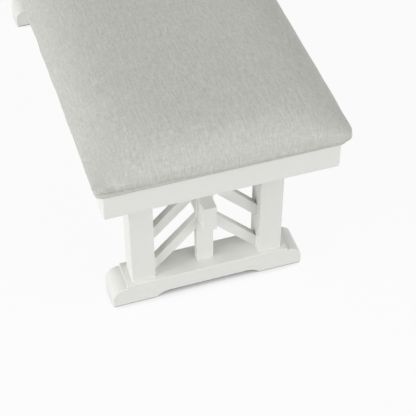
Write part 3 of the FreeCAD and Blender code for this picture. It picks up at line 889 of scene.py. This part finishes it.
def lay_threads(piece, sizes):
    """Stores each point's place on the flat cloth, so that the weave follows the roll and the sides."""
    points = points_of(piece)
    _, facing = outline(points, sizes.length / 2, sizes.depth / 2, THREAD_TURN)
    drop = np.maximum(0, COVER_HIGH.z - THREAD_DROP - points[:, 2])
    thread = np.zeros_like(points)
    thread[:, :2] = points[:, :2] + facing * drop[:, None]
    stored = piece.data.attributes.new(THREAD, "FLOAT_VECTOR", "POINT")
    stored.data.foreach_set("vector", thread.ravel())


class BENCH_OT_seat_cushion(bpy.types.Operator):
    """Model the padded seat with its wrapped edge"""

    bl_idname = "bench.seat_cushion"
    bl_label = "Seat Cushion"

    def execute(self, context):
        sizes = context.scene.bench_seat
        pad = loft_pad(sizes)
        swell_pad(pad, sizes)
        apply_modifier(pad, "SUBSURF", levels=1, render_levels=1)
        settle_cover(pad, sizes)
        edge = wrap_edge(sizes)
        select_only(pad)
        edge.select_set(True)
        bpy.ops.object.join()
        bpy.ops.object.shade_smooth()
        lay_threads(pad, sizes)
        wear(pad, linen_finish(context.scene.bench_finish))
        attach(pad, "root")
        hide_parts("seat_cover", "seat_foam")
        return {"FINISHED"}


# The cloth under the seat.
DUST_CELLS_LONG = 140
DUST_CELLS_DEEP = 48
DUST_RIPPLES_LONG = 9
DUST_RIPPLES_DEEP = 14
DUST_SAG_EVEN = 0.7
DUST_SAG_UNEVEN = 0.5
FELT_GRAINS = 900
FELT_ROUGHNESS = 0.75


def sag_cloth(cloth, sizes):
    """Lets the dust cloth down between the bearer, the top rails and its own edges."""
    points = points_of(cloth)
    from_middle = np.abs(points[:, 0])
    inner = from_middle < TOP_RAIL_LOW.x
    span_start = np.where(inner, BEARER_HIGH.x, TOP_RAIL_HIGH.x)
    span_end = np.where(inner, TOP_RAIL_LOW.x, DUST_HIGH.x)
    along = np.clip((from_middle - span_start) / (span_end - span_start), 0, 1)
    across = np.clip(np.abs(points[:, 1]) / DUST_HIGH.y, 0, 1)
    free = np.sin(math.pi * along) * (1 - across ** 2)
    ripple = np.array([
        noise.noise(Vector((x * DUST_RIPPLES_LONG, y * DUST_RIPPLES_DEEP, 0))) for x, y, _ in points
    ])
    points[:, 2] -= sizes.dust_sag * free * (DUST_SAG_EVEN + DUST_SAG_UNEVEN * ripple)
    set_points(cloth, points)


class BENCH_OT_dust_cover(bpy.types.Operator):
    """Model the dust cloth stretched under the seat board"""

    bl_idname = "bench.dust_cover"
    bl_label = "Dust Cover"

    def execute(self, context):
        sizes = context.scene.bench_seat
        colours = context.scene.bench_finish
        half_length = DUST_HIGH.x
        half_depth = DUST_HIGH.y
        leave_all_unselected()
        bpy.ops.mesh.primitive_grid_add(
            x_subdivisions=DUST_CELLS_LONG, y_subdivisions=DUST_CELLS_DEEP, size=2, location=(0, 0, 0),
        )
        cloth = context.object
        cloth.name = "dust_cloth"
        cloth.data.name = "dust_cloth"
        bpy.ops.object.mode_set(mode="EDIT")
        bpy.ops.mesh.select_all(action="SELECT")
        bpy.ops.transform.resize(value=(half_length, half_depth, 1))
        bpy.ops.transform.translate(value=(0, 0, DUST_HIGH.z))
        bpy.ops.object.mode_set(mode="OBJECT")
        sag_cloth(cloth, sizes)
        apply_modifier(cloth, "SOLIDIFY", thickness=sizes.cloth_thickness, offset=-1)
        bpy.ops.object.shade_smooth()
        felt = speckled_finish(
            "dust_cloth", colours.dust_cloth, colours.dust_fibre, FELT_GRAINS, FELT_ROUGHNESS,
        )
        wear(cloth, felt)
        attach(cloth, "root")
        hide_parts("dust_cover")
        return {"FINISHED"}


# The wood, the fixings and the glides, which keep their CAD shapes.
BARE_CONTRAST = 0.5
DOWEL_CONTRAST = 0.3
PLY_CONTRAST = 0.4
ZINC_GRAINS = 700
ZINC_ROUGHNESS = 0.25
NYLON_GRAINS = 500
NYLON_ROUGHNESS = 0.4
TURNS = {
    "lengthwise": ALONG_X, "crosswise": ALONG_Y, "upright": ALONG_Z,
    "front_slat": FRONT_SLAT, "rear_slat": REAR_SLAT,
}


def grain_way(node):
    """Which way a wooden piece's grain runs, from the piece's name."""
    if node.endswith("slat"):
        return "rear_slat" if "_rear_" in node else "front_slat"
    if node.endswith(("post", "mullion")):
        return "upright"
    if node.endswith(("end_rail", "foot", "top_rail", "bearer")):
        return "crosswise"
    return "lengthwise"


def nodes_in(slot):
    """The CAD nodes that take their finish from one slot of the record."""
    return [node for node, its_slot in SLOT_OF_NODE.items() if its_slot == slot]


class BENCH_OT_painted_frame(bpy.types.Operator):
    """Paint the seat frame, trestles and stretcher, each along its own grain"""

    bl_idname = "bench.painted_frame"
    bl_label = "Painted Frame"

    def execute(self, context):
        colours = context.scene.bench_finish
        for way, turn in TURNS.items():
            members = [node for node in nodes_in("painted_wood") if grain_way(node) == way]
            finish_nodes(members, painted_finish(colours, "painted_" + way, turn))
        return {"FINISHED"}


class BENCH_OT_inner_wood(bpy.types.Operator):
    """Finish the unpainted blocks, bearer, dowels and seat board"""

    bl_idname = "bench.inner_wood"
    bl_label = "Inner Wood"

    def execute(self, context):
        colours = context.scene.bench_finish
        bare = (colours.bare_wood, colours.bare_wood_grain)
        for way in ("lengthwise", "crosswise"):
            members = [node for node in nodes_in("bare_wood") if grain_way(node) == way]
            finish_nodes(members, wood_finish("bare_" + way, *bare, TURNS[way], BARE_CONTRAST))
        dowels = wood_finish("dowel_wood", colours.dowel_wood, colours.bare_wood, ALONG_Z, DOWEL_CONTRAST)
        finish_nodes(nodes_in("dowel_wood"), dowels)
        finish_nodes(nodes_in("plywood"), wood_finish("plywood", *bare, ALONG_X, PLY_CONTRAST))
        return {"FINISHED"}


class BENCH_OT_fixings(bpy.types.Operator):
    """Finish the bolts, washers, nuts and screws, and the glides under the feet"""

    bl_idname = "bench.fixings"
    bl_label = "Fixings and Glides"

    def execute(self, context):
        colours = context.scene.bench_finish
        plating = speckled_finish(
            "zinc_steel", colours.zinc, colours.zinc_dull, ZINC_GRAINS, ZINC_ROUGHNESS, metal=1.0,
        )
        finish_nodes(nodes_in("zinc_steel"), plating)
        glides = speckled_finish("nylon", colours.nylon, colours.nylon_scuff, NYLON_GRAINS, NYLON_ROUGHNESS)
        finish_nodes(nodes_in("nylon"), glides)
        return {"FINISHED"}


# The stage.
WHITE = (1, 1, 1, 1)
FLOOR_SIZE = 16.0
# How dark the painted contact shade under the pieces gets, and how open the floor must be to show plain
# white.
PAINTED_SHADE_DARK = 0.05
PAINTED_SHADE_OPEN = 0.60
SOFTBOX_SIZE = 6.7
SOFTBOX_DISTANCE = 12.0
SOFTBOX_AIM = Vector((0.3, 0, 0.35))

# Each softbox's turn from the near end towards the front side, and its rise over the floor.
SOFTBOX_WAYS = {
    "side": (math.radians(90), math.radians(24)), "corner": (math.radians(60), math.radians(24)),
    "end": (math.radians(-30), math.radians(36)), "rear": (math.radians(-60), math.radians(12)),
}


def seen_directly(tree):
    """1 for what the camera sees, itself or in polished metal, and 0 for light that falls on the bench."""
    rays = tree.nodes.new("ShaderNodeLightPath").outputs
    mirrored = math_of(tree, "MAXIMUM", rays["Is Glossy Ray"], rays["Is Transmission Ray"])
    return math_of(tree, "MAXIMUM", rays["Is Camera Ray"], mirrored)


def lay_floor(stage):
    """A pale floor that keeps the bench's shadow and looks nearly white, with painted shade that dims that
    white in nooks under the pieces.
    """
    leave_all_unselected()
    bpy.ops.mesh.primitive_plane_add(size=FLOOR_SIZE, location=(0, 0, 0))
    floor = bpy.context.object
    floor.name = "floor"
    material, tree, shader = new_finish("floor")
    shader.inputs["Base Color"].default_value = (*stage.floor, 1)
    shader.inputs["Roughness"].default_value = 1.0
    shader.inputs["Specular IOR Level"].default_value = 0.0
    # Painted shade: ambient occlusion dims the white that the camera sees wherever a piece stands close
    # over the floor, as a painted contact shadow.
    openness = tree.nodes.new("ShaderNodeAmbientOcclusion")
    openness.inputs["Distance"].default_value = stage.painted_shade_reach
    painted_shade_white = spread_of(tree, openness.outputs["AO"], PAINTED_SHADE_DARK, PAINTED_SHADE_OPEN)
    white = tree.nodes.new("ShaderNodeEmission")
    tree.links.new(painted_shade_white, white.inputs["Strength"])
    share = scaled(tree, seen_directly(tree), stage.floor_white)
    look = blend_of(tree, share, shader.outputs["BSDF"], white.outputs["Emission"])
    tree.links.new(look, tree.nodes["Material Output"].inputs["Surface"])
    wear(floor, material)


def light_sky(stage):
    """Even light from all round, and a white backdrop behind the floor."""
    world = bpy.data.worlds.new("studio")
    bpy.context.scene.world = world
    world.use_nodes = True
    tree = world.node_tree
    light = tree.nodes["Background"]
    light.inputs["Color"].default_value = WHITE
    light.inputs["Strength"].default_value = stage.sky
    backdrop = tree.nodes.new("ShaderNodeBackground")
    backdrop.inputs["Color"].default_value = WHITE
    look = blend_of(tree, seen_directly(tree), light.outputs["Background"], backdrop.outputs["Background"])
    tree.links.new(look, tree.nodes["World Output"].inputs["Surface"])


def hang_softbox(name, power):
    """A square softbox, far off along its way from the bench and facing it."""
    azimuth, elevation = SOFTBOX_WAYS[name]
    away = math.cos(elevation)
    way = Vector((math.cos(azimuth) * away, -math.sin(azimuth) * away, math.sin(elevation)))
    facing = (-way).to_track_quat("-Z", "Y").to_euler()
    bpy.ops.object.light_add(type="AREA", location=SOFTBOX_AIM + way * SOFTBOX_DISTANCE, rotation=facing)
    lamp = bpy.context.object
    lamp.name = name + " softbox"
    lamp.data.size = SOFTBOX_SIZE
    lamp.data.energy = power
    lamp.visible_camera = False


def stand_camera(stage):
    """The camera at the photograph's viewing angle."""
    turn = (math.pi / 2 - stage.camera_pitch, 0, math.pi / 2 - stage.camera_yaw)
    bpy.ops.object.camera_add(location=stage.camera_place, rotation=turn)
    camera = bpy.context.object
    camera.data.lens = stage.lens
    bpy.context.scene.camera = camera


class BENCH_OT_stage(bpy.types.Operator):
    """Set the floor, the soft light and the camera"""

    bl_idname = "bench.stage"
    bl_label = "Stage"

    def execute(self, context):
        stage = context.scene.bench_stage
        lay_floor(stage)
        light_sky(stage)
        hang_softbox("side", stage.side_power)
        hang_softbox("corner", stage.corner_power)
        hang_softbox("end", stage.end_power)
        hang_softbox("rear", stage.rear_power)
        stand_camera(stage)
        context.scene.view_settings.view_transform = "Standard"
        return {"FINISHED"}


OPERATORS = (
    BENCH_OT_seat_cushion,
    BENCH_OT_dust_cover,
    BENCH_OT_painted_frame,
    BENCH_OT_inner_wood,
    BENCH_OT_fixings,
    BENCH_OT_stage,
)


class BENCH_PT_finish(bpy.types.Panel):
    """Lists the bench's pieces and finishes"""

    bl_label = "Upholstered Bench"
    bl_idname = "BENCH_PT_finish"
    bl_space_type = "VIEW_3D"
    bl_region_type = "UI"
    bl_category = "Bench"

    def draw(self, context):
        for operator in OPERATORS:
            self.layout.operator(operator.bl_idname)


CLASSES = (SeatSizes, Finishes, StageSettings, *OPERATORS, BENCH_PT_finish)


def register():
    for added in CLASSES:
        bpy.utils.register_class(added)
    bpy.types.Scene.bench_seat = PointerProperty(type=SeatSizes)
    bpy.types.Scene.bench_finish = PointerProperty(type=Finishes)
    bpy.types.Scene.bench_stage = PointerProperty(type=StageSettings)


def unregister():
    del bpy.types.Scene.bench_stage
    del bpy.types.Scene.bench_finish
    del bpy.types.Scene.bench_seat
    for added in reversed(CLASSES):
        bpy.utils.unregister_class(added)


def main():
    register()
    bpy.ops.bench.seat_cushion()
    bpy.ops.bench.dust_cover()
    bpy.ops.bench.painted_frame()
    bpy.ops.bench.inner_wood()
    bpy.ops.bench.fixings()
    bpy.ops.bench.stage()


if __name__ == "__main__":
    main()
